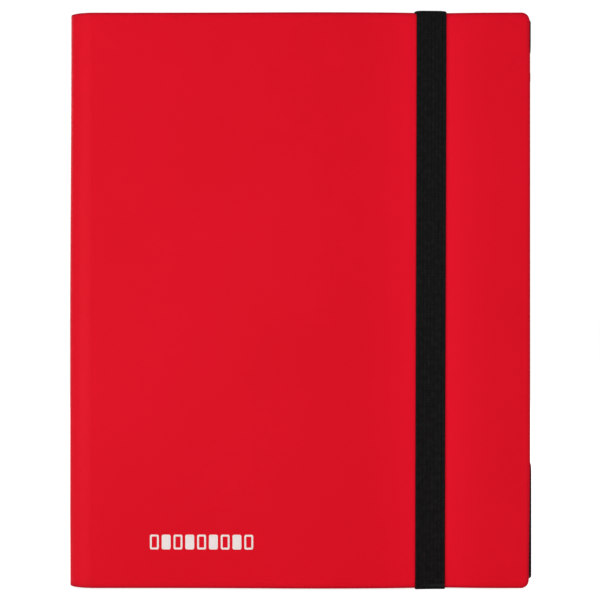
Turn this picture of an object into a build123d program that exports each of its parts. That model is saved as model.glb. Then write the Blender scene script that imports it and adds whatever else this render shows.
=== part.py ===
from build123d import *

import os

# A trading card binder, closed and held shut by its elastic strap, standing on its lower edge.
# +Z is up, the front cover faces -Y and the spine is at -X.
# The origin is under the middle of the closed binder. Lengths are in millimetres.

# Covers and spine, one plastic sheet thick all the way round
cover_height = 312.0
cover_sheet = 1.2
cover_corner = 4.5
block_depth = 27.2
overall_width = 251.0
page_overhang = 0.5

# Scored creases that join the spine to the covers
crease_width = 1.6
crease_thickness = 0.5

# Elastic strap, its ends and the moulded caps that hold them inside the back cover
strap_width = 16.0
strap_thickness = 0.9
strap_x = 71.2
strap_bend = 0.7
strap_end_length = 14.0
strap_tail_length = 12.0
strap_clearance = 0.2
anchor_width = 26.0
anchor_height = 20.0
anchor_thickness = 1.5
anchor_corner = 3.0
anchor_rim = 4.0
anchor_edge = 0.4

# Strip inside the spine that the pages are fixed to
strip_web = 0.8
strip_leg = 0.7
strip_reach = 6.0

# Pages: a black sheet with three columns of clear film pockets on each face
page_count = 20
page_pitch = 1.05
first_page_y = -10.4
page_height = 303.4
page_raise = 5.0
page_corner = 3.0
core_sheet = 0.2
foot_length = 0.8
page_hinge_reach = 1.0
page_hinge_gap = 0.15
film_sheet = 0.1
pocket_columns = 3
binding_margin = 16.0
pocket_seam = 3.0
page_border = 3.0

# Worked out from the dimensions above
page_edge_x = overall_width / 2
fore_edge_x = page_edge_x - page_overhang
spine_radius = block_depth / 2
inner_radius = spine_radius - cover_sheet
hinge_y = spine_radius - cover_sheet / 2
crease_x = spine_radius - overall_width / 2
cover_start_x = crease_x + crease_width / 2
spine_end_x = crease_x - crease_width / 2
cover_base = strap_thickness
cover_top = cover_base + cover_height
strap_top = cover_top + strap_thickness
middle_height = Plane.XY.offset(strap_top / 2)
strap_outer_y = spine_radius + strap_thickness
tail_inner_y = inner_radius - strap_thickness
slot_z = cover_top - strap_end_length
page_base = cover_base + page_raise
page_top = page_base + page_height
leaf_start_x = crease_x + page_hinge_reach + page_hinge_gap
film_start_x = crease_x + page_hinge_reach + binding_margin
film_end_x = page_edge_x - page_border
film_height = page_height - 2 * page_border
column_pitch = (film_end_x - film_start_x + pocket_seam) / pocket_columns
column_width = column_pitch - pocket_seam
strip_wall = inner_radius - strip_leg

os.makedirs("parts", exist_ok=True)


def sheet_outline(left, right, bottom, top, corner):
    """Draw an upright sheet with its two fore corners rounded, in the active sketch."""
    with Locations(((left + right) / 2, (bottom + top) / 2)):
        Rectangle(right - left, top - bottom)
    fillet(vertices().group_by(Axis.X)[-1], corner)


def save(name, builder):
    """Label a finished sub-part and write it to its own file."""
    builder.part.label = name
    export_step(builder.part, f"parts/{name}.step")


# Front cover, flat from its crease to the fore edge
with BuildPart() as front_cover:
    with BuildSketch(Plane.XZ.offset(inner_radius)):
        sheet_outline(cover_start_x, fore_edge_x, cover_base, cover_top, cover_corner)
    extrude(amount=cover_sheet)
save("front_cover", front_cover)

# Back cover, the same sheet with two slots for the ends of the strap
with BuildPart() as back_cover:
    mirror(front_cover.part, about=Plane.XZ)
    with BuildSketch(Plane.XZ.offset(-spine_radius)):
        with Locations((strap_x, slot_z), (strap_x, strap_top - slot_z)):
            Rectangle(strap_width + 2 * strap_clearance, strap_thickness + 2 * strap_clearance)
    extrude(amount=cover_sheet, mode=Mode.SUBTRACT)
save("back_cover", back_cover)

# Spine, half a round tube that ends at the two creases
with BuildPart() as spine:
    with BuildSketch(Plane.XY.offset(cover_base)):
        with Locations((crease_x, 0)):
            Circle(spine_radius)
            Circle(inner_radius, mode=Mode.SUBTRACT)
        with Locations((spine_end_x, 0)):
            Rectangle(spine_radius, block_depth, align=(Align.MAX, Align.CENTER), mode=Mode.INTERSECT)
    extrude(amount=cover_height)
save("spine", spine)

# Creases, where the sheet is scored thin so that it folds
with BuildPart() as front_hinge_web:
    with BuildSketch(Plane.XY.offset(cover_base)):
        with Locations((crease_x, -hinge_y)):
            Rectangle(crease_width, crease_thickness)
    extrude(amount=cover_height)
save("front_hinge_web", front_hinge_web)

with BuildPart() as back_hinge_web:
    mirror(front_hinge_web.part, about=Plane.XZ)
save("back_hinge_web", back_hinge_web)

# Binding strip, a flat web across the spine with a curved leg along each side of it
with BuildPart() as binding_strip:
    with BuildSketch(Plane.XY.offset(page_base)):
        with Locations((crease_x, 0)):
            Circle(inner_radius)
            Circle(strip_wall, mode=Mode.SUBTRACT)
            Rectangle(strip_reach, block_depth, align=(Align.MAX, Align.CENTER), mode=Mode.INTERSECT)
            Rectangle(strip_web, 2 * strip_wall, align=(Align.MAX, Align.CENTER))
    extrude(amount=page_height)
save("binding_strip", binding_strip)

# Page feet, the part of each page between the strip and the page's own crease
page_ys = [first_page_y + number * page_pitch for number in range(page_count)]
with BuildPart() as page_feet:
    with BuildSketch(Plane.XY.offset(page_base)):
        with Locations(*[(crease_x, page_y) for page_y in page_ys]):
            Rectangle(foot_length, core_sheet, align=(Align.MIN, Align.CENTER))
    extrude(amount=page_height)
save("page_feet", page_feet)

# Pages and their pockets, page_01 next to the front cover
film_middle_z = (page_base + page_top) / 2
column_centres = [
    (film_start_x + column_width / 2 + column * column_pitch, film_middle_z)
    for column in range(pocket_columns)
]
for number, page_y in enumerate(page_ys, start=1):
    with BuildPart() as page:
        with BuildSketch(Plane.XZ.offset(-page_y - core_sheet / 2)):
            sheet_outline(leaf_start_x, page_edge_x, page_base, page_top, page_corner)
        extrude(amount=core_sheet)
    save(f"page_{number:02d}", page)

    with BuildPart() as pockets:
        for film_y in (page_y + core_sheet / 2 + film_sheet, page_y - core_sheet / 2):
            with BuildSketch(Plane.XZ.offset(-film_y)):
                with Locations(*column_centres):
                    Rectangle(column_width, film_height)
            extrude(amount=film_sheet)
    save(f"page_{number:02d}_pockets", pockets)

# Strap across the front cover, its outer edges eased where it turns over the top and bottom
with BuildPart() as strap_front_run:
    with BuildSketch(Plane.XZ.offset(spine_radius)):
        with Locations((strap_x, strap_top / 2)):
            Rectangle(strap_width, strap_top)
    extrude(amount=strap_thickness)
    fillet(faces().sort_by(Axis.Y)[0].edges().filter_by(Axis.X), strap_bend)
save("strap_front_run", strap_front_run)

# Strap over the top of the page block, eased where it turns down the back
with BuildPart() as strap_leg_top:
    with BuildSketch(Plane.XZ.offset(-strap_outer_y)):
        with Locations((strap_x, cover_top)):
            Rectangle(strap_width, strap_thickness, align=(Align.CENTER, Align.MIN))
    extrude(amount=strap_outer_y + spine_radius)
    fillet(faces().sort_by(Axis.Z)[-1].edges().filter_by(Axis.X).sort_by(Axis.Y)[-1], strap_bend)
save("strap_leg_top", strap_leg_top)

with BuildPart() as strap_leg_bottom:
    mirror(strap_leg_top.part, about=middle_height)
save("strap_leg_bottom", strap_leg_bottom)

# End of the strap: down the back cover, in through its slot and down inside
with BuildPart() as strap_end_top:
    with BuildSketch(Plane.YZ.offset(strap_x)):
        with Locations((spine_radius, slot_z - strap_thickness / 2)):
            Rectangle(strap_thickness, cover_top - slot_z + strap_thickness / 2, align=Align.MIN)
        with Locations((tail_inner_y, slot_z)):
            Rectangle(strap_outer_y - tail_inner_y, strap_thickness, align=(Align.MIN, Align.CENTER))
        with Locations((tail_inner_y, slot_z + strap_thickness / 2)):
            Rectangle(strap_thickness, strap_tail_length, align=(Align.MIN, Align.MAX))
    extrude(amount=strap_width / 2, both=True)
save("strap_end_top", strap_end_top)

with BuildPart() as strap_end_bottom:
    mirror(strap_end_top.part, about=middle_height)
save("strap_end_bottom", strap_end_bottom)

# Cap welded over the tail of the strap inside the back cover
with BuildPart() as strap_anchor_top:
    with BuildSketch(Plane.XZ.offset(-inner_radius)):
        with Locations((strap_x, slot_z + anchor_rim)):
            RectangleRounded(anchor_width, anchor_height, anchor_corner, align=(Align.CENTER, Align.MAX))
    extrude(amount=anchor_thickness)
    fillet(faces().sort_by(Axis.Y)[0].edges(), anchor_edge)
    with BuildSketch(Plane.XZ.offset(-inner_radius)):
        with Locations((strap_x, slot_z + strap_thickness / 2 + strap_clearance)):
            Rectangle(
                strap_width + 2 * strap_clearance,
                strap_tail_length + 2 * strap_clearance,
                align=(Align.CENTER, Align.MAX),
            )
    extrude(amount=strap_thickness, mode=Mode.SUBTRACT)
save("strap_anchor_top", strap_anchor_top)

with BuildPart() as strap_anchor_bottom:
    mirror(strap_anchor_top.part, about=middle_height)
save("strap_anchor_bottom", strap_anchor_bottom)
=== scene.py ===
import math

import bmesh
import bpy
import numpy as np
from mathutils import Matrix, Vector

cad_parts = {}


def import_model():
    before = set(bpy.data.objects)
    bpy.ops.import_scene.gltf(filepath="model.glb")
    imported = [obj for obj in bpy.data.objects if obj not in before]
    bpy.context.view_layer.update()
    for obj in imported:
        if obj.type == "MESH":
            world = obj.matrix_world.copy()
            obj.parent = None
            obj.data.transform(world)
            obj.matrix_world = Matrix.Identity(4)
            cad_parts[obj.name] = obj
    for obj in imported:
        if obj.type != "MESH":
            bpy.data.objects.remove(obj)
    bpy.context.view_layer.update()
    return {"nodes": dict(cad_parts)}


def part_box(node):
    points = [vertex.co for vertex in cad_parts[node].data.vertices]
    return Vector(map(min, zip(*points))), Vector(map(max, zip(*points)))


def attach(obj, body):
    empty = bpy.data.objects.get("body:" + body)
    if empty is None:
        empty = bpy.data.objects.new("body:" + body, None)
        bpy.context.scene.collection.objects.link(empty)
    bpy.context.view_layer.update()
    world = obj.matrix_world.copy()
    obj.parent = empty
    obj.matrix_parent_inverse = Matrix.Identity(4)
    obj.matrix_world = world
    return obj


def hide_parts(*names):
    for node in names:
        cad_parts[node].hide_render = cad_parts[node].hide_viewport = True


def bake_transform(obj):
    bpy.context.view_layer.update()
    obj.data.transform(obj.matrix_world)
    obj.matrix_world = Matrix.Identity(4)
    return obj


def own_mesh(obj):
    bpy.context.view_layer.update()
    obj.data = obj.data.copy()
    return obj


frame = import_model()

# A closed trading card binder, standing upright. Everything is in metres, in the frame of the CAD model:
# +Z up, front cover towards -Y, spine at -X. Places come from the CAD nodes' boxes.

MM = 0.001
rng = np.random.default_rng(20)

# ---------------------------------------------------------------- places read from the frame
cover_low, cover_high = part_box("front_cover")
back_low, back_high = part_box("back_cover")
spine_low, spine_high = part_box("spine")
web_low, web_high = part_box("front_hinge_web")
run_low, run_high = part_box("strap_front_run")
tail_low, tail_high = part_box("strap_end_top")
SHEET = cover_high.y - cover_low.y
SPINE_RADIUS = -cover_low.y
CREASE_X = (web_low.x + web_high.x) / 2
CREASE_HALF = (web_high.x - web_low.x) / 2
MIDDLE_Z = (cover_low.z + cover_high.z) / 2
STRAP_X = (run_low.x + run_high.x) / 2
STRAP_WIDTH = run_high.x - run_low.x
STRAP_THICK = run_high.y - run_low.y
PAGE_NAMES = [f"page_{number:02d}" for number in range(1, 21)]

# ---------------------------------------------------------------- shape of the bowed covers
BELLY, BELLY_X, BELLY_WIDTH = 1.75 * MM, 11 * MM, 44 * MM  # how far the pages push a cover out
BELLY_SAG = 0.35  # the belly's growth towards the foot, as a share over the whole height
DIP, DIP_X, DIP_WIDTH = 1.4 * MM, STRAP_X + 3 * MM, 16 * MM  # the dent under the strap
RIM_PULL, RIM_START = 0.6, 0.485  # the dent deepens by one share, from the other share of the height
LIFT = 0.45 * MM  # how far the fore edge lifts past the strap
SPINE_EASE = 30 * MM  # a cover is flat at the spine and takes its bow over this distance
BACK_SHARE = 0.5  # the back cover's bow as a share of the front one's
COVER_CORNER = 4.5 * MM
CORNER_STEPS = 9


def hill(distance, width):
    """A smooth hill, 1 at no distance."""
    return np.exp(-((distance / width) ** 2))


def smooth(value, low, high):
    """0 below low, 1 above high, and a smooth step between them."""
    t = np.clip((value - low) / (high - low), 0, 1)
    return t * t * (3 - 2 * t)


def bow(x, z):
    """How far a cover stands out from its flat CAD face: pages push it out and the strap pulls it in."""
    height = (z - MIDDLE_Z) / (cover_high.z - cover_low.z)
    belly = BELLY * hill(x - BELLY_X, BELLY_WIDTH) * (1 - BELLY_SAG * height)
    rim = smooth(np.abs(height), RIM_START, 0.5)
    dip = DIP * (1 + RIM_PULL * rim) * hill(x - DIP_X, DIP_WIDTH)
    lift = LIFT * smooth(x, DIP_X + DIP_WIDTH, cover_high.x)
    return (belly - dip + lift) * smooth(x, cover_low.x, cover_low.x + SPINE_EASE)


def front_face(x, z):
    """y of the front cover's outer face."""
    return cover_low.y - bow(x, z)


def back_face(x, z):
    """y of the back cover's outer face, which bows less than the front one's."""
    return back_high.y + BACK_SHARE * bow(x, z)


# ---------------------------------------------------------------- mesh helpers
def piece(name, points, faces, material, sharp_deg=40):
    """A smooth mesh object made from points and faces."""
    mesh = bpy.data.meshes.new(name)
    mesh.from_pydata(np.asarray(points, float).reshape(-1, 3).tolist(), [], faces)
    mesh.validate()
    mesh.polygons.foreach_set("use_smooth", [True] * len(mesh.polygons))
    mesh.set_sharp_from_angle(angle=math.radians(sharp_deg))
    mesh.materials.append(material)
    made = bpy.data.objects.new(name, mesh)
    bpy.context.scene.collection.objects.link(made)
    return made


def sheet_faces(columns, rows, kept=None):
    """Faces of a closed sheet whose outer grid comes first and its inner grid second.
    kept is False for each cell that is a hole."""
    kept = np.ones((columns - 1, rows - 1), bool) if kept is None else kept
    number = np.arange(columns * rows).reshape(columns, rows)
    inner = columns * rows
    faces, edges = [], set()
    for i, j in np.argwhere(kept):
        ring = [int(number[i, j]), int(number[i + 1, j]), int(number[i + 1, j + 1]), int(number[i, j + 1])]
        faces.append(ring)
        faces.append([n + inner for n in reversed(ring)])
        edges.update(zip(ring, ring[1:] + ring[:1]))
    rim = [(a, b) for a, b in sorted(edges) if (b, a) not in edges]
    faces += [[b, a, a + inner, b + inner] for a, b in rim]
    return faces


def closed_sheet(name, outer, inner, material, kept=None, sharp_deg=40):
    """A thin closed solid between two grids of points, each of shape (columns, rows, 3)."""
    columns, rows = outer.shape[:2]
    points = np.concatenate([outer.reshape(-1, 3), inner.reshape(-1, 3)])
    return piece(name, points, sheet_faces(columns, rows, kept), material, sharp_deg)


def ease_edges(made, joined):
    """Rounds a piece's sharp edges over. An edge stays when joined says True for both its ends, which meet a
    neighbour."""
    work = bmesh.new()
    work.from_mesh(made.data)
    sharp = [edge for edge in work.edges if edge.is_manifold and edge.calc_face_angle() > EASE_ANGLE]
    sharp = [edge for edge in sharp if not all(joined(vertex.co) for vertex in edge.verts)]
    rounding = {"offset": EASE, "segments": EASE_STEPS, "profile": 0.5, "clamp_overlap": True}
    bmesh.ops.bevel(work, geom=sharp, affect="EDGES", **rounding)
    for face in work.faces:
        face.smooth = True
    work.to_mesh(made.data)
    work.free()


def point_values(made, name, values):
    """Keeps one number for each vertex of a piece, for its material to read."""
    attribute = made.data.attributes.new(name, "FLOAT", "POINT")
    attribute.data.foreach_set("value", np.asarray(values, np.float32).ravel())


def vertex_places(made):
    """A piece's vertices as an array of shape (count, 3)."""
    places = np.empty(len(made.data.vertices) * 3)
    made.data.vertices.foreach_get("co", places)
    return places.reshape(-1, 3)


def grid(*axes):
    """Column and row coordinates as two arrays of shape (columns, rows)."""
    return np.meshgrid(*axes, indexing="ij")


def fore_rounded(columns, shares, low, high, corner):
    """x and z of a sheet's grid with its two fore corners rounded. shares run from 0 at the bottom to 1 at
    the top."""
    past = np.clip(columns - (high.x - corner), 0, corner)
    cut = corner - np.sqrt(np.maximum(corner**2 - past**2, 0))
    x = np.repeat(columns[:, None], len(shares), axis=1)
    z = low.z + cut[:, None] + shares[None, :] * (high.z - low.z - 2 * cut[:, None])
    return x, z


def fore_columns(low_x, high_x, corner, count):
    """Column places: even along the sheet, and by equal angles round its fore corners."""
    round_part = high_x - corner + corner * np.sin(np.linspace(0, math.pi / 2, CORNER_STEPS))
    return np.concatenate([np.linspace(low_x, high_x - corner, count)[:-1], round_part])


def finished(made, body, node):
    """Rides a piece on its body, in place of its CAD node."""
    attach(made, body)
    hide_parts(node)


def resurface(node, material):
    """Gives a CAD node that stays in sight a better material."""
    slots = frame["nodes"][node].data.materials
    slots.clear()
    slots.append(material)


# ---------------------------------------------------------------- material helpers
class Nodes:
    """A material's nodes, made by short calls."""

    def __init__(self, name):
        self.material = bpy.data.materials.new(name)
        self.material.use_nodes = True
        self.tree = self.material.node_tree
        self.tree.nodes.clear()
        self.output = self.tree.nodes.new("ShaderNodeOutputMaterial")
        self.shader = self.tree.nodes.new("ShaderNodeBsdfPrincipled")
        self.link(self.shader.outputs[0], self.output.inputs[0])

    def link(self, source, target):
        """Joins an output to an input."""
        self.tree.links.new(source, target)

    def add(self, kind, inputs=None, **settings):
        """A node with some inputs linked or set, by name or number."""
        node = self.tree.nodes.new(kind)
        for key, value in settings.items():
            setattr(node, key, value)
        for key, value in (inputs or {}).items():
            if isinstance(value, bpy.types.NodeSocket):
                self.link(value, node.inputs[key])
            else:
                node.inputs[key].default_value = value
        return node

    def place(self):
        """Object coordinates, which are the row frame in metres."""
        return self.add("ShaderNodeTexCoord").outputs["Object"]

    def noise(self, place, size, detail=2.0, rough=0.5):
        """Noise whose features are about this many metres across."""
        inputs = {"Vector": place, "Scale": 1 / size, "Detail": detail, "Roughness": rough}
        return self.add("ShaderNodeTexNoise", inputs).outputs["Fac"]

    def kept(self, name):
        """The number kept for each vertex under this name, or 0 where a piece has none."""
        return self.add("ShaderNodeAttribute", attribute_name=name).outputs["Fac"]

    def remap(self, value, low, high, to_low, to_high):
        """value moved from one range to another, and held inside it."""
        node = self.add("ShaderNodeMapRange", {0: value, 1: low, 2: high, 3: to_low, 4: to_high})
        return node.outputs[0]

    def math(self, operation, a, b=0.0):
        """One number worked out from one or two."""
        return self.add("ShaderNodeMath", {0: a, 1: b}, operation=operation).outputs[0]

    def mix(self, share, one, other):
        """A colour between two."""
        node = self.add("ShaderNodeMix", {0: share, 6: one, 7: other}, data_type="RGBA")
        return node.outputs[2]

    def bump(self, height, distance, strength):
        """A normal tilted by a height from 0 to 1, which stands for this many metres."""
        inputs = {"Height": height, "Distance": distance, "Strength": strength}
        return self.add("ShaderNodeBump", inputs).outputs[0]

    def set(self, **inputs):
        """Sets or links the shader's inputs; an underscore in a name stands for a space."""
        for name, value in inputs.items():
            socket = self.shader.inputs[name.replace("_", " ")]
            if isinstance(value, bpy.types.NodeSocket):
                self.link(value, socket)
            else:
                socket.default_value = value


def cover_plastic():
    """Red polypropylene: a very fine grain, faint mottling, painted light in a lighter band beside the strap,
    and painted shade along its edges."""
    n = Nodes("red_cover_plastic")
    place = n.place()
    broad = n.noise(place, 90 * MM, 2)
    grain = n.noise(place, 0.55 * MM, 4, 0.6)
    scuff = n.noise(place, 2.2 * MM, 5, 0.7)
    base = n.mix(n.remap(broad, 0.3, 0.7, 0, 1), (0.653, 0.0047, 0.0156, 1), (0.678, 0.0052, 0.0180, 1))
    # Painted light: a lighter band beside the strap.
    base = n.mix(n.kept("painted_light"), base, (0.738, 0.0057, 0.0205, 1))
    base = n.mix(n.remap(grain, 0.45, 0.75, 0, 0.10), base, (0.56, 0.0039, 0.0127, 1))
    # Painted shade: darker along the edges.
    base = n.mix(n.math("MULTIPLY", n.kept("rim"), 0.75), base, (0.30, 0.0030, 0.0120, 1))
    rough = n.math("ADD", n.remap(grain, 0.3, 0.7, 0.48, 0.58), n.remap(scuff, 0.6, 0.8, 0, 0.08))
    normal = n.bump(grain, 0.010 * MM, 0.6)
    n.set(Base_Color=base, Roughness=rough, Normal=normal, Specular_IOR_Level=0.04, IOR=1.49)
    return n.material


THREAD_SLANT, THREAD_STEP = 0.45, 0.85  # millimetres: a thread's rise over a rib, and its repeat


def strap_elastic():
    """Black woven elastic: lengthwise ribs, a slanting thread on each, painted shade in the grooves between
    them, fine fuzz and a painted highlight line where it folds."""
    n = Nodes("black_elastic")
    spot = n.add("ShaderNodeAttribute", attribute_name="strap_mm").outputs["Vector"]
    parts = n.add("ShaderNodeSeparateXYZ", {0: spot})
    across, along = parts.outputs[0], parts.outputs[1]
    rib = n.math("PINGPONG", across, 1.0)
    slant = n.math("ADD", along, n.math("MULTIPLY", rib, THREAD_SLANT))
    thread = n.math("SINE", n.math("MULTIPLY", slant, 2 * math.pi / THREAD_STEP))
    height = n.remap(thread, -1, 1, 0, 1)
    fuzz = n.noise(spot, 0.35, 4, 0.7)
    wear_and_highlight = n.noise(spot, 2.6, 3, 0.6)
    weave = n.math("ADD", n.math("MULTIPLY", height, 0.7), n.math("MULTIPLY", fuzz, 0.5))
    base = n.mix(n.remap(weave, 0.25, 1.0, 0, 1), (0.0008, 0.0008, 0.0008, 1), (0.0074, 0.0074, 0.0076, 1))
    base = n.mix(n.remap(wear_and_highlight, 0.42, 0.66, 0, 0.7), base, (0.0104, 0.0103, 0.0106, 1))
    # Painted shade: the grooves between the ribs are darkened.
    groove = n.remap(rib, 0.0, 0.32, 0.85, 0)
    base = n.mix(groove, base, (0.0004, 0.0004, 0.0004, 1))
    # Painted highlight: a lighter line beside the bottom fold.
    base = n.mix(n.kept("fold"), base, (0.022, 0.022, 0.022, 1))
    normal = n.bump(weave, 0.10 * MM, 0.8)
    rough = n.remap(fuzz, 0.3, 0.7, 0.62, 0.85)
    n.set(Base_Color=base, Roughness=rough, Normal=normal, Specular_IOR_Level=0.10)
    n.set(Sheen_Weight=0.02, Sheen_Roughness=0.5, Sheen_Tint=(0.8, 0.8, 0.8, 1))
    return n.material


def page_plastic():
    """Black page sheet, finely grained, with paler cut edges at its head and foot."""
    n = Nodes("black_page_sheet")
    place = n.place()
    grain = n.noise(place, 0.5 * MM, 4, 0.6)
    drawn_out = n.add("ShaderNodeMapping", {0: place, "Scale": (1, 1, 0.08)}).outputs[0]
    streak = n.noise(drawn_out, 3 * MM, 3)
    base = n.mix(n.remap(streak, 0.35, 0.7, 0, 1), (0.0030, 0.0030, 0.0032, 1), (0.0065, 0.0065, 0.0069, 1))
    base = n.mix(n.kept("rim"), base, (0.090, 0.090, 0.094, 1))
    rough = n.remap(grain, 0.3, 0.7, 0.36, 0.52)
    n.set(Base_Color=base, Roughness=rough, Normal=n.bump(grain, 0.012 * MM, 0.6), Specular_IOR_Level=0.22)
    return n.material


def pocket_film():
    """Clear pocket film over a black sheet: glossy, slightly rippled, with a faint haze."""
    n = Nodes("clear_pocket_film")
    place = n.place()
    ripple = n.noise(place, 26 * MM, 1)
    haze = n.noise(place, 9 * MM, 2)
    base = n.mix(haze, (0.035, 0.035, 0.038, 1), (0.085, 0.086, 0.090, 1))
    rough = n.remap(haze, 0.3, 0.7, 0.15, 0.20)
    alpha = n.remap(haze, 0.3, 0.7, 0.30, 0.38)
    n.set(Base_Color=base, Roughness=rough, Normal=n.bump(ripple, 0.4 * MM, 0.5))
    n.set(Alpha=alpha, Specular_IOR_Level=0.5, IOR=1.5)
    return n.material


def moulded_black():
    """Moulded black polypropylene with a spark-eroded texture."""
    n = Nodes("black_moulding")
    place = n.place()
    pits = n.noise(place, 0.4 * MM, 3, 0.65)
    wear = n.noise(place, 6 * MM, 4, 0.6)
    base = n.mix(n.remap(wear, 0.4, 0.7, 0, 1), (0.011, 0.011, 0.0115, 1), (0.02, 0.02, 0.021, 1))
    rough = n.remap(pits, 0.3, 0.7, 0.42, 0.6)
    n.set(Base_Color=base, Roughness=rough, Normal=n.bump(pits, 0.03 * MM, 0.8), Specular_IOR_Level=0.4)
    return n.material


def white_print():
    """White screen print, a little uneven."""
    n = Nodes("white_print")
    speck = n.noise(n.place(), 0.3 * MM, 4, 0.7)
    base = n.mix(n.remap(speck, 0.35, 0.75, 0, 1), (0.84, 0.82, 0.80, 1), (0.72, 0.66, 0.64, 1))
    n.set(Base_Color=base, Roughness=n.remap(speck, 0.3, 0.7, 0.4, 0.6), Specular_IOR_Level=0.3)
    return n.material


RED = cover_plastic()
ELASTIC = strap_elastic()
PAGE_BLACK = page_plastic()
FILM = pocket_film()
MOULDED = moulded_black()
PRINT = white_print()


# ---------------------------------------------------------------- covers
EASE, EASE_STEPS, EASE_ANGLE = 0.28 * MM, 3, math.radians(50)
END_ROWS = np.array([0.3, 0.8, 1.6]) * MM
COVER_COLUMNS, COVER_ROWS = 96, 97
RIM_WIDTH = 1.10 * MM
# How far the painted lighter band beside the strap reaches:
PAINTED_LIGHT_WIDTH = 17 * MM
FOOT_DRAW, FOOT_TOP, FOOT_RUN = 0.75 * MM, 68 * MM, 56 * MM
HEAD_DRAW, HEAD_DOWN, HEAD_RUN = 0.30 * MM, 20 * MM, 4 * MM
FORE_EASE = 40 * MM  # how far back from the fore edge its changes reach
TOUCH = 0.01 * MM


def edge_shares(count, height):
    """Row places from 0 to 1: even, and closer together beside both ends."""
    near = END_ROWS / height
    return np.unique(np.concatenate([np.linspace(0, 1, count), near, 1 - near]))


def end_rim(z, low, high):
    """1 at a piece's top and bottom ends, fading to 0 inside."""
    return hill(np.minimum(z - low.z, high.z - z), RIM_WIDTH)


def fore_draw(x, z):
    """How far the front cover's fore edge is drawn in: towards its foot, and a little at its head."""
    foot = FOOT_DRAW * np.clip((cover_low.z + FOOT_TOP - z) / FOOT_RUN, 0, 1)
    head = HEAD_DRAW * smooth(z, cover_high.z - HEAD_DOWN - HEAD_RUN, cover_high.z - HEAD_DOWN)
    return (foot + head) * smooth(x, cover_high.x - FORE_EASE, cover_high.x)


def strap_painted_light(x):
    """Painted light: 1 beside the strap's front run, fading away from it."""
    beside = np.maximum(np.abs(x - STRAP_X) - STRAP_WIDTH / 2, 0)
    return hill(beside, PAINTED_LIGHT_WIDTH) * (1 - hill(x - cover_high.x, PAINTED_LIGHT_WIDTH))


def nothing(x, z=0.0):
    """The back cover is neither drawn in nor given painted light."""
    return 0 * (x + z)


def cover(name, face, inward, low, high, draw, painted_light, holes=()):
    """A bowed cover. face gives y of its outer side, inward is the sign of y towards the pages, draw says how
    far a point is drawn in, the next argument how much lighter a point is painted, and holes are boxes (left,
    right, bottom, top)."""
    columns = fore_columns(low.x, high.x, COVER_CORNER, COVER_COLUMNS)
    shares = edge_shares(COVER_ROWS, high.z - low.z)
    for left, right, bottom, top in holes:
        columns = np.sort(np.concatenate([columns, [left, right]]))
        levels = (np.array([bottom, top]) - low.z) / (high.z - low.z)
        shares = np.sort(np.concatenate([shares, levels]))
    columns, shares = np.unique(columns), np.unique(shares)
    x, z = fore_rounded(columns, shares, low, high, COVER_CORNER)
    x = x - draw(x, z)
    y = face(x, z)
    outer = np.stack([x, y, z], axis=-1)
    inner = np.stack([x, y + inward * SHEET, z], axis=-1)
    if inward < 0:
        outer, inner = inner, outer
    middle_x = (columns[1:] + columns[:-1]) / 2
    middle_z = low.z + (shares[1:] + shares[:-1]) / 2 * (high.z - low.z)
    cell_x, cell_z = grid(middle_x, middle_z)
    kept = np.ones(cell_x.shape, bool)
    for left, right, bottom, top in holes:
        kept &= ~((cell_x > left) & (cell_x < right) & (cell_z > bottom) & (cell_z < top))
    made = closed_sheet(name, outer, inner, RED, kept)
    ease_edges(made, joined=lambda at: at.x < low.x + TOUCH)
    # The rim number paints shade along the cover's outline.
    x, _, z = vertex_places(made).T
    past_x = x + draw(x, z) - (high.x - COVER_CORNER)
    past_z = np.abs(z - MIDDLE_Z) - ((high.z - low.z) / 2 - COVER_CORNER)
    round_part = np.hypot(np.maximum(past_x, 0), np.maximum(past_z, 0))
    straight_part = np.minimum(np.maximum(past_x, past_z), 0)
    point_values(made, "rim", hill(COVER_CORNER - round_part - straight_part, RIM_WIDTH))
    # Painted light: a lighter band beside the strap.
    point_values(made, "painted_light", painted_light(x))
    return made


SLOT_GAP = 0.2 * MM
SLOT_DOWN = 14 * MM
half_wide, half_high = STRAP_WIDTH / 2 + SLOT_GAP, STRAP_THICK / 2 + SLOT_GAP
slots = [
    (STRAP_X - half_wide, STRAP_X + half_wide, level - half_high, level + half_high)
    for level in (back_low.z + SLOT_DOWN, back_high.z - SLOT_DOWN)
]
front = cover("front_cover_panel", front_face, 1, cover_low, cover_high, fore_draw, strap_painted_light)
finished(front, "front_cover", "front_cover")
back = cover("back_cover_panel", back_face, -1, back_low, back_high, nothing, nothing, slots)
finished(back, "back_cover", "back_cover")


# ---------------------------------------------------------------- spine and creases
SPINE_HEAD, SPINE_SWELL, SPINE_FOOT = -0.22 * MM, 0.66 * MM, 0.14 * MM
SWELL_FROM, SWELL_TO, FOOT_FROM = -0.45, 0.05, 0.36  # shares of the height down from the middle
SPINE_ROWS, SPINE_STEPS = 61, 49


def spine_shell():
    """Half-round spine that swells below its head."""
    start = math.asin(CREASE_HALF / SPINE_RADIUS)
    height = spine_high.z - spine_low.z
    levels = spine_low.z + edge_shares(SPINE_ROWS, height) * height
    angle, z = grid(np.linspace(start, math.pi - start, SPINE_STEPS), levels)
    down = (MIDDLE_Z - z) / height
    swell = SPINE_HEAD + SPINE_SWELL * smooth(down, SWELL_FROM, SWELL_TO)
    swell = swell - SPINE_FOOT * smooth(down, FOOT_FROM, 0.5)
    swell = swell * (np.sin(angle) - math.sin(start))
    rings = []
    for radius in (SPINE_RADIUS, SPINE_RADIUS - SHEET):
        reach = radius + swell
        rings.append(np.stack([CREASE_X - reach * np.sin(angle), reach * np.cos(angle), z], axis=-1))
    made = closed_sheet("spine_shell", rings[0], rings[1], RED)
    ease_edges(made, joined=lambda at: at.x > CREASE_X - CREASE_HALF - TOUCH)
    # The rim number paints shade at the spine's head and foot.
    point_values(made, "rim", end_rim(vertex_places(made)[:, 2], spine_low, spine_high))
    return made


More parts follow.
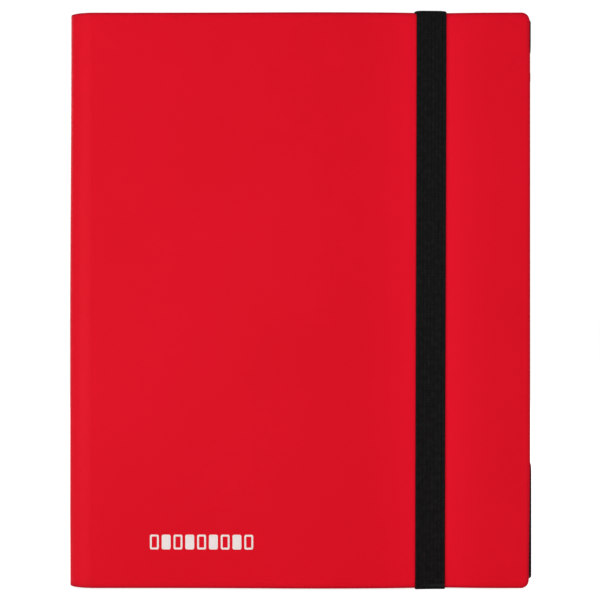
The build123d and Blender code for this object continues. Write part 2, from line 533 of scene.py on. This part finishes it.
finished(spine_shell(), "spine", "spine")

GROOVE_OUT, GROOVE_IN = 0.03 * MM, 0.50 * MM
GROOVE_WIDTH = 0.45 * MM
CREASE_STEPS = 15


def crease(name, side, node):
    """The living hinge between the spine and a cover, scored on its inner face. side is the sign of its y."""
    height = cover_high.z - cover_low.z
    levels = cover_low.z + edge_shares(SPINE_ROWS, height) * height
    across, z = grid(np.linspace(-CREASE_HALF, CREASE_HALF, CREASE_STEPS), levels)
    spine_y = math.sqrt(SPINE_RADIUS**2 - CREASE_HALF**2)
    share = smooth(across, -CREASE_HALF, CREASE_HALF)
    outer_y = spine_y + (SPINE_RADIUS - spine_y) * share - GROOVE_OUT * hill(across, GROOVE_WIDTH)
    inner_y = SPINE_RADIUS - SHEET + GROOVE_IN * hill(across, GROOVE_WIDTH)
    outer = np.stack([CREASE_X + across, side * outer_y, z], axis=-1)
    inner = np.stack([CREASE_X + across, side * inner_y, z], axis=-1)
    if side > 0:
        outer, inner = inner, outer
    made = closed_sheet(name, outer, inner, RED, sharp_deg=60)
    # The rim number paints shade at the crease's head and foot.
    point_values(made, "rim", end_rim(vertex_places(made)[:, 2], cover_low, cover_high))
    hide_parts(node)
    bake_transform(made)


crease("front_crease", -1, "front_hinge_web")
crease("back_crease", 1, "back_hinge_web")


# ---------------------------------------------------------------- strap
RIBS, STEPS_PER_RIB = 8, 8
RIB_HEIGHT = 0.07 * MM
SELVEDGE, SELVEDGE_THIN = 0.9 * MM, 0.8
EDGE_CROWDING = 0.92  # 0 spaces the strap's lengthwise lines evenly, 1 crowds them to its edges
STRAP_BEND = 1.0 * MM
STRAP_LEAN, LEAN_TURN, STRAP_SHIFT = 0.45 * MM, 2.4, -0.02 * MM
RELAXED = 0.07 * MM  # how much wider each half is along the front than at the anchored ends
RUN_POINTS = 161
FLAP = 4 * MM  # how far a leg reaches down each cover
FOLD_REACH, CROWN_REACH = 1.0 * MM, 3.5 * MM
CROWN_POWER = 5  # how flat a crowned fold is in its middle
SLOT_TAIL = 12 * MM
SLOT_BEND = 0.7 * STRAP_THICK
FOLD_UP, FOLD_WIDTH = 1.5 * MM, 0.35 * MM  # the painted highlight line near the bottom fold

half_thick = STRAP_THICK / 2
front_middle = float(front_face(STRAP_X, MIDDLE_Z))
back_middle = float(back_face(STRAP_X, MIDDLE_Z))
front_y = front_middle - half_thick
back_y = back_middle + half_thick


def strap_section():
    """Across the strap: places from -1 to 1 and the half thickness at each, thinner at the selvedges."""
    widest = EDGE_CROWDING * math.pi / 2
    across = np.sin(np.linspace(-widest, widest, STEPS_PER_RIB * RIBS + 1)) / math.sin(widest)
    edge = np.clip((1 - np.abs(across)) * STRAP_WIDTH / 2 / SELVEDGE, 0, 1)
    ribs = RIB_HEIGHT * (np.abs(np.sin(across * RIBS * math.pi / 2)) - 1)
    return across, (half_thick + ribs) * np.sqrt(1 - SELVEDGE_THIN * (1 - edge) ** 2)


def strap_centre(z):
    """x of the middle of the strap's front run, which leans a little."""
    height = (z - MIDDLE_Z) / (cover_high.z - cover_low.z)
    return STRAP_X + STRAP_LEAN * np.sin(LEAN_TURN * height) + STRAP_SHIFT


def ribbon(name, path, front, centre, half_width, crown):
    """A woven strip along a path of (y, z) points. At each point front is 1 where the strip lies on the front
    cover and 0 where it lies on the back cover, centre is its middle's x, and crown lifts its middle."""
    path = np.array(path, float)
    step = np.gradient(path, axis=0)
    step /= np.linalg.norm(step, axis=1)[:, None]
    side = np.stack([-step[:, 1], step[:, 0]], axis=1)
    run = np.concatenate([[0], np.cumsum(np.linalg.norm(np.diff(path, axis=0), axis=1))])
    across, half = strap_section()
    x = centre[None, :] + across[:, None] * half_width[None, :]
    level = np.clip(path[None, :, 1] + 0 * x, cover_low.z, cover_high.z)
    lie = front * (front_face(x, level) - front_middle) + (1 - front) * (back_face(x, level) - back_middle)
    lift = crown[None, :] * (1 - np.abs(across[:, None]) ** CROWN_POWER)
    sides = []
    for sign in (1, -1):
        y = path[None, :, 0] + lie + (lift + sign * half[:, None]) * side[None, :, 0]
        z = path[None, :, 1] + (lift + sign * half[:, None]) * side[None, :, 1]
        sides.append(np.stack([x, y, z], axis=-1))
    made = closed_sheet(name, *sides, ELASTIC, sharp_deg=70)
    spot = np.zeros((len(across), len(path), 3), np.float32)
    spot[..., 0] = across[:, None] * STRAP_WIDTH / 2 / MM
    spot[..., 1] = run[None, :] / MM
    attribute = made.data.attributes.new("strap_mm", "FLOAT_VECTOR", "POINT")
    attribute.data.foreach_set("vector", np.concatenate([spot, spot]).ravel())
    return made


def arc(centre_y, centre_z, radius, start_deg, end_deg, count=7):
    """Points of an arc in the (y, z) plane."""
    angles = np.radians(np.linspace(start_deg, end_deg, count))
    return [(centre_y + radius * math.cos(a), centre_z + radius * math.sin(a)) for a in angles]


def line(start, end, count):
    """Evenly spaced points of a straight run, both ends included."""
    return [tuple(p) for p in np.linspace(start, end, count)]


def leg_path(side, edge_z):
    """Up from the front, over the edge and down to the back. side is 1 at the top and -1 at the bottom."""
    over_z = edge_z + side * half_thick
    bend_z = over_z - side * STRAP_BEND
    points = line((front_y, edge_z - side * FLAP), (front_y, bend_z), 8)
    points += arc(front_y + STRAP_BEND, bend_z, STRAP_BEND, 180, 180 - side * 90)[1:]
    points += line((front_y + STRAP_BEND, over_z), (back_y - STRAP_BEND, over_z), 18)[1:]
    points += arc(back_y - STRAP_BEND, bend_z, STRAP_BEND, side * 90, 0)[1:]
    points += line((back_y, bend_z), (back_y, edge_z - side * FLAP), 4)[1:]
    return points


def end_path(side, edge_z, slot_z):
    """Down the back cover from the leg, in through the slot and along the inside."""
    inside_y = back_middle - SHEET - half_thick
    bend_z = side * SLOT_BEND
    points = line((back_y, edge_z - side * FLAP), (back_y, slot_z + bend_z), 7)
    points += arc(back_y - SLOT_BEND, slot_z + bend_z, SLOT_BEND, 0, -side * 90)[1:]
    points += line((back_y - SLOT_BEND, slot_z), (inside_y + SLOT_BEND, slot_z), 3)[1:]
    points += arc(inside_y + SLOT_BEND, slot_z - bend_z, SLOT_BEND, side * 90, side * 180)[1:]
    points += line((inside_y, slot_z - bend_z), (inside_y, slot_z - side * SLOT_TAIL), 6)[1:]
    return points


def leg(name, side, edge_z, spread, shift, crown):
    """A leg: relaxed at the front, spread, shifted and crowned where it folds over the edge, and drawn
    narrow at the back. The bottom one has a painted highlight line beside its fold."""
    points = leg_path(side, edge_z)
    y, z = np.array(points).T
    front = 1 - smooth(y, front_y, back_y - STRAP_BEND)
    fold = front * (1 - smooth(np.abs(z - edge_z), 0, FOLD_REACH))
    crowned = front * (1 - smooth(np.abs(z - edge_z), 0, CROWN_REACH))
    centre = STRAP_X + front * (strap_centre(z) - STRAP_X) + shift * fold
    half_width = STRAP_WIDTH / 2 + front * RELAXED + spread * fold
    made = ribbon(name, points, front, centre, half_width, crown * crowned)
    if side < 0:
        x, y, z = vertex_places(made).T
        # Painted highlight: a lighter line beside the bottom fold.
        wear_and_highlight = hill(z - edge_z - FOLD_UP, FOLD_WIDTH) * smooth(x - STRAP_X, -STRAP_WIDTH / 2, STRAP_WIDTH / 4)
        point_values(made, "fold", wear_and_highlight * (y < front_y + STRAP_BEND))
    return made


run_path = line((front_y, cover_high.z - FLAP), (front_y, cover_low.z + FLAP), RUN_POINTS)
run_centre = strap_centre(np.array(run_path)[:, 1])
ones = np.ones(RUN_POINTS)
front_run = ribbon("strap_front", run_path, ones, run_centre, (STRAP_WIDTH / 2 + RELAXED) * ones, 0 * ones)
finished(front_run, "strap", "strap_front_run")

# How far each leg's fold is spread, shifted and crowned.
FOLDS = {"top": (0.75 * MM, -0.60 * MM, 0.50 * MM), "bottom": (0.10 * MM, 0, 0)}
for side, where, edge_z in ((1, "top", cover_high.z), (-1, "bottom", cover_low.z)):
    over = leg(f"strap_over_{where}", side, edge_z, *FOLDS[where])
    finished(over, "back_cover", f"strap_leg_{where}")
    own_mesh(over)
    slot_z = edge_z - side * SLOT_DOWN
    points = end_path(side, edge_z, slot_z)
    none = np.zeros(len(points))
    end = ribbon(f"strap_anchored_{where}", points, none, STRAP_X + none, STRAP_WIDTH / 2 + none, none)
    finished(end, "back_cover", f"strap_end_{where}")
    resurface(f"strap_anchor_{where}", MOULDED)


# ---------------------------------------------------------------- pages
FILM_SHEET = 0.1 * MM
SEAM = 3.0 * MM
FILM_GAP = 0.03 * MM
PUFF, PUFF_VARIES = 0.25 * MM, 0.25
MOUTH = 0.06 * MM
POCKETS = 3  # pockets across a page, and down it
POCKET_GRID = (9, 11)
FRONT_ROOM, BACK_ROOM = 1.9 * MM, 2.7 * MM
ROOM_TAKEN = 0.95
ROOM_START, ROOM_FULL = 16 * MM, 70 * MM  # distances from the crease
ANCHOR_ROOM, ANCHOR_REACH = 1.3 * MM, 26 * MM
SWAY, SWAY_LENGTH = 0.9 * MM, 110 * MM
PAGE_COLUMNS, PAGE_ROWS = 28, 97
PAGE_CORNER = 1.8 * MM
FORE_FLUSH = 0.6 * MM
FORE_STEP, BULGE_DOWN = 5 * MM, 35 * MM
HEAD_SHARE, BULGE_SHARE = 0.65, 0.45
WAVE_START = 10 * MM
SLOW_WAVE, SLOW_HIGH, SLOW_WIDE = 0.10 * MM, 52 * MM, 70 * MM
QUICK_WAVE, QUICK_HIGH = 0.05 * MM, 23 * MM
PHASE_STEP = 0.13  # how much the waves differ from one page to the next
LEAST_REACH, MOST_REACH = 0.4, 0.85  # millimetres that a page's fore edge wanders out


def page_wave(x, z, phases):
    """The slight waviness of a thin sheet, nothing at its crease."""
    reach = smooth(x, CREASE_X + WAVE_START, cover_high.x)
    slow = np.sin(z / SLOW_HIGH + phases[0]) * np.sin(x / SLOW_WIDE + phases[1])
    quick = np.sin(z / QUICK_HIGH + phases[2])
    return reach * (SLOW_WAVE * slow + QUICK_WAVE * quick)


def page_share(number):
    """-1 for the first page, 1 for the last."""
    return 2 * number / (len(PAGE_NAMES) - 1) - 1


def page_room(number, x, z):
    """The room that a page's nearer cover leaves for the block to spread into, which is less at the back
    beside the strap anchors."""
    if page_share(number) < 0:
        room = FRONT_ROOM + bow(x, z)
    else:
        room = BACK_ROOM + BACK_SHARE * bow(x, z) - ANCHOR_ROOM * hill(x - STRAP_X, ANCHOR_REACH)
    return ROOM_TAKEN * room * smooth(x, CREASE_X + ROOM_START, CREASE_X + ROOM_FULL)


def page_sway(number, x):
    """The slow bends that neighbouring pages share: most in the middle of the block, none at the covers."""
    reach = smooth(x, CREASE_X + WAVE_START, CREASE_X + ROOM_FULL)
    turn = 2 * math.pi * (x - CREASE_X) / SWAY_LENGTH
    return SWAY * (1 - abs(page_share(number))) * reach * np.sin(turn)


def page_stand(number, x, z, phases):
    """How far a page stands off its CAD place: its share of the room, its bends and its waviness."""
    return page_share(number) * page_room(number, x, z) + page_sway(number, x) + page_wave(x, z, phases)


def fore_wander(z, reach):
    """How far a page's fore edge stands out past its CAD edge: most near its foot, less near its head, and
    least in a short bulge below the head."""
    foot = smooth(cover_low.z + FOOT_TOP + 2 * MM - z, 0, FORE_STEP)
    head = smooth(z, cover_high.z - HEAD_DOWN - HEAD_RUN, cover_high.z - HEAD_DOWN)
    bulge = hill(z - cover_high.z + BULGE_DOWN, FORE_STEP)
    return reach * (foot + HEAD_SHARE * head + BULGE_SHARE * bulge) - FORE_FLUSH


def page_sheet(name, number, phases, reach):
    """The black sheet of one page."""
    low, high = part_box(name)
    columns = fore_columns(low.x, high.x, PAGE_CORNER, PAGE_COLUMNS)
    x, z = fore_rounded(columns, edge_shares(PAGE_ROWS, high.z - low.z), low, high, PAGE_CORNER)
    x = x + smooth(x, high.x - FORE_EASE, high.x) * fore_wander(z, reach)
    stand = page_stand(number, x, z, phases)
    outer = np.stack([x, low.y + stand, z], axis=-1)
    inner = np.stack([x, high.y + stand, z], axis=-1)
    made = closed_sheet(f"{name}_sheet", outer, inner, PAGE_BLACK)
    point_values(made, "rim", end_rim(vertex_places(made)[:, 2], low, high))
    return made


def page_film(name, number, phases):
    """The clear pockets of one page: three by three on each face, welded round three sides and open at the
    side towards the spine."""
    sheet_low, sheet_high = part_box(name)
    low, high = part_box(f"{name}_pockets")
    width = (high.x - low.x - (POCKETS - 1) * SEAM) / POCKETS
    height = (high.z - low.z - (POCKETS - 1) * SEAM) / POCKETS
    points, faces = [], []
    u, v = grid(*(np.linspace(0, 1, count) for count in POCKET_GRID))
    # A pocket swells between its welds, less towards its mouth, which stands a little open.
    dome = np.sqrt(np.clip(v * (1 - v) * 4, 0, 1)) * np.clip((1 - u) * 3, 0, 1) ** 0.7
    mouth = MOUTH * np.sin(math.pi * v) * np.clip(1 - u * 4, 0, 1)
    cells = sheet_faces(*u.shape)
    for side, face_y in ((-1, sheet_low.y), (1, sheet_high.y)):
        for column, row in np.ndindex(POCKETS, POCKETS):
            x = low.x + column * (width + SEAM) + u * width
            z = low.z + row * (height + SEAM) + v * height
            turn = math.sin(phases[0] * 9 + column * 2 + row + side)
            puff = PUFF * (1 - PUFF_VARIES + PUFF_VARIES * turn)
            puff = puff + page_room(number, x, z) / (len(PAGE_NAMES) - 1)
            rise = dome * puff * np.clip(0.35 + u * 3, 0, 1) + mouth
            near = face_y + page_stand(number, x, z, phases) + side * (FILM_GAP + rise)
            far = near + side * FILM_SHEET
            outer, inner = (far, near) if side < 0 else (near, far)
            offset = sum(len(p) for p in points)
            points.append(np.stack([x, outer, z], axis=-1).reshape(-1, 3))
            points.append(np.stack([x, inner, z], axis=-1).reshape(-1, 3))
            faces += [[n + offset for n in face] for face in cells]
    return piece(f"{name}_film", np.concatenate(points), faces, FILM)


first_phases = rng.uniform(0, 2 * math.pi, 3)
for number, name in enumerate(PAGE_NAMES):
    phases = first_phases + PHASE_STEP * number
    reach = MM * (rng.uniform(LEAST_REACH, MOST_REACH) if number else MOST_REACH)
    finished(page_sheet(name, number, phases, reach), name, name)
    finished(page_film(name, number, phases), name, f"{name}_pockets")

resurface("binding_strip", MOULDED)
resurface("page_feet", PAGE_BLACK)


# ---------------------------------------------------------------- printed mark: a row of plain card outlines
MARK_LEFT, MARK_BOTTOM = cover_low.x + 30.0 * MM, cover_low.z + 21.0 * MM
CARD_WIDE, CARD_HIGH, CARD_GAP = 4.8 * MM, 8.0 * MM, 1.60 * MM
CARD_COUNT = 9
CARD_CORNER, INSIDE_CORNER, CORNER_POINTS = 0.9 * MM, 0.3 * MM, 5
CARD_LINE, CARD_MIDDLE = 1.0 * MM, 1.6 * MM  # an outline's width, and how far in a card's middle begins
INK, INK_SUNK = 0.03 * MM, 0.002 * MM


def card_ring(inset, corner):
    """Outline of a small card, going round anticlockwise from its lower right corner."""
    points = []
    for quarter, (right, up) in enumerate(((1, -1), (1, 1), (-1, 1), (-1, -1))):
        for angle in np.radians(np.linspace(quarter * 90 - 90, quarter * 90, CORNER_POINTS)):
            x = CARD_WIDE / 2 + right * (CARD_WIDE / 2 - inset - corner) + corner * math.cos(angle)
            z = CARD_HIGH / 2 + up * (CARD_HIGH / 2 - inset - corner) + corner * math.sin(angle)
            points.append((x, z))
    return points


def printed_mark():
    """Closed ink films that follow the cover: outlined cards and, in every second place, filled ones."""
    points, faces = [], []
    for card in range(CARD_COUNT):
        filled = card % 2
        inset = CARD_MIDDLE if filled else CARD_LINE
        rings = [card_ring(0, CARD_CORNER), card_ring(inset, INSIDE_CORNER)]
        base, count = len(points), len(rings[0])
        for depth in (-INK, INK_SUNK):
            for x, z in rings[0] + rings[1]:
                at_x, at_z = MARK_LEFT + card * (CARD_WIDE + CARD_GAP) + x, MARK_BOTTOM + z
                points.append((at_x, float(front_face(at_x, at_z)) + depth, at_z))
        outer, inner, far_outer, far_inner = (base + count * k for k in range(4))
        for i in range(count):
            j = (i + 1) % count
            faces.append([outer + i, outer + j, inner + j, inner + i])
            faces.append([far_outer + j, far_outer + i, far_inner + i, far_inner + j])
            faces.append([outer + j, outer + i, far_outer + i, far_outer + j])
            if not filled:
                faces.append([inner + i, inner + j, far_inner + j, far_inner + i])
        if filled:
            faces.append([inner + i for i in range(count)])
            faces.append([far_inner + i for i in reversed(range(count))])
    made = piece("cover_mark", points, faces, PRINT)
    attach(made, "front_cover")


printed_mark()


# ---------------------------------------------------------------- stage, light and camera
def by_camera_ray(tree, seen, cast):
    """A strength for what the camera sees, and another for the light that is cast."""
    light_path = tree.nodes.new("ShaderNodeLightPath")
    strength = tree.nodes.new("ShaderNodeMapRange")
    strength.inputs[3].default_value = cast
    strength.inputs[4].default_value = seen
    tree.links.new(light_path.outputs["Is Camera Ray"], strength.inputs[0])
    return strength.outputs[0]


def floor(seen, cast):
    """A plain pale floor."""
    n = Nodes("pale_floor")
    mottle = n.noise(n.place(), 0.4, 3)
    base = n.mix(mottle, (0.86, 0.86, 0.86, 1), (0.9, 0.9, 0.9, 1))
    n.set(Base_Color=base, Roughness=0.9, Specular_IOR_Level=0.0)
    n.set(Emission_Color=(1, 1, 1, 1), Emission_Strength=by_camera_ray(n.tree, seen, cast))
    size = 14.0
    corners = [(-size, -size, 0), (size, -size, 0), (size, size, 0), (-size, size, 0)]
    piece("floor", corners, [[0, 1, 2, 3]], n.material)


def world(seen, cast):
    """Pale surroundings: seen as white, and casting a weaker even light."""
    made = bpy.data.worlds.new("pale_studio")
    bpy.context.scene.world = made
    made.use_nodes = True
    tree = made.node_tree
    tree.nodes["Background"].inputs[0].default_value = (1, 1, 1, 1)
    tree.links.new(by_camera_ray(tree, seen, cast), tree.nodes["Background"].inputs[1])


def softbox(name, azimuth, elevation, distance, size, watts, mirrored=True):
    """A large soft light aimed at the binder. Azimuth 0 is in front, and positive is to the right. One that
    isn't mirrored lights the binder but makes no glare on it."""
    target = Vector((0, 0, MIDDLE_Z))
    a, e = math.radians(azimuth), math.radians(elevation)
    away = Vector((math.sin(a) * math.cos(e), -math.cos(a) * math.cos(e), math.sin(e)))
    data = bpy.data.lights.new(name, "AREA")
    data.shape = "RECTANGLE"
    data.size, data.size_y = size
    data.energy = watts
    lamp = bpy.data.objects.new(name, data)
    lamp.location = target + away * distance
    lamp.rotation_euler = (-away).to_track_quat("-Z", "Y").to_euler()
    lamp.visible_glossy = mirrored
    bpy.context.scene.collection.objects.link(lamp)


def camera():
    """Square on to the front cover, from about a metre away."""
    distance = 1.030
    shown_width = 0.32525  # how much of the front cover's plane the picture's width takes in
    off_x, off_z = 0.25 * MM, 0.18 * MM
    data = bpy.data.cameras.new("camera")
    data.sensor_width = 36
    data.lens = data.sensor_width * distance / shown_width
    made = bpy.data.objects.new("camera", data)
    made.location = (off_x, cover_low.y - distance, MIDDLE_Z + off_z)
    made.rotation_euler = (math.radians(90), 0, 0)
    bpy.context.scene.collection.objects.link(made)
    bpy.context.scene.camera = made


floor(seen=0.82, cast=0.12)
world(seen=1.05, cast=0.22)
softbox("key", -46, -1.0, 1.02, (0.9, 0.24), 6.25)
softbox("fill", 44, -1.0, 1.06, (0.9, 0.24), 3.75, mirrored=False)
softbox("top", 0, 88, 1.8, (1.2, 1.2), 4)
softbox("behind_left", -154, 12, 1.7, (0.9, 0.7), 6)
softbox("behind_right", 142, 12, 1.7, (0.9, 0.7), 9)
camera()
bpy.context.scene.view_settings.view_transform = "Standard"
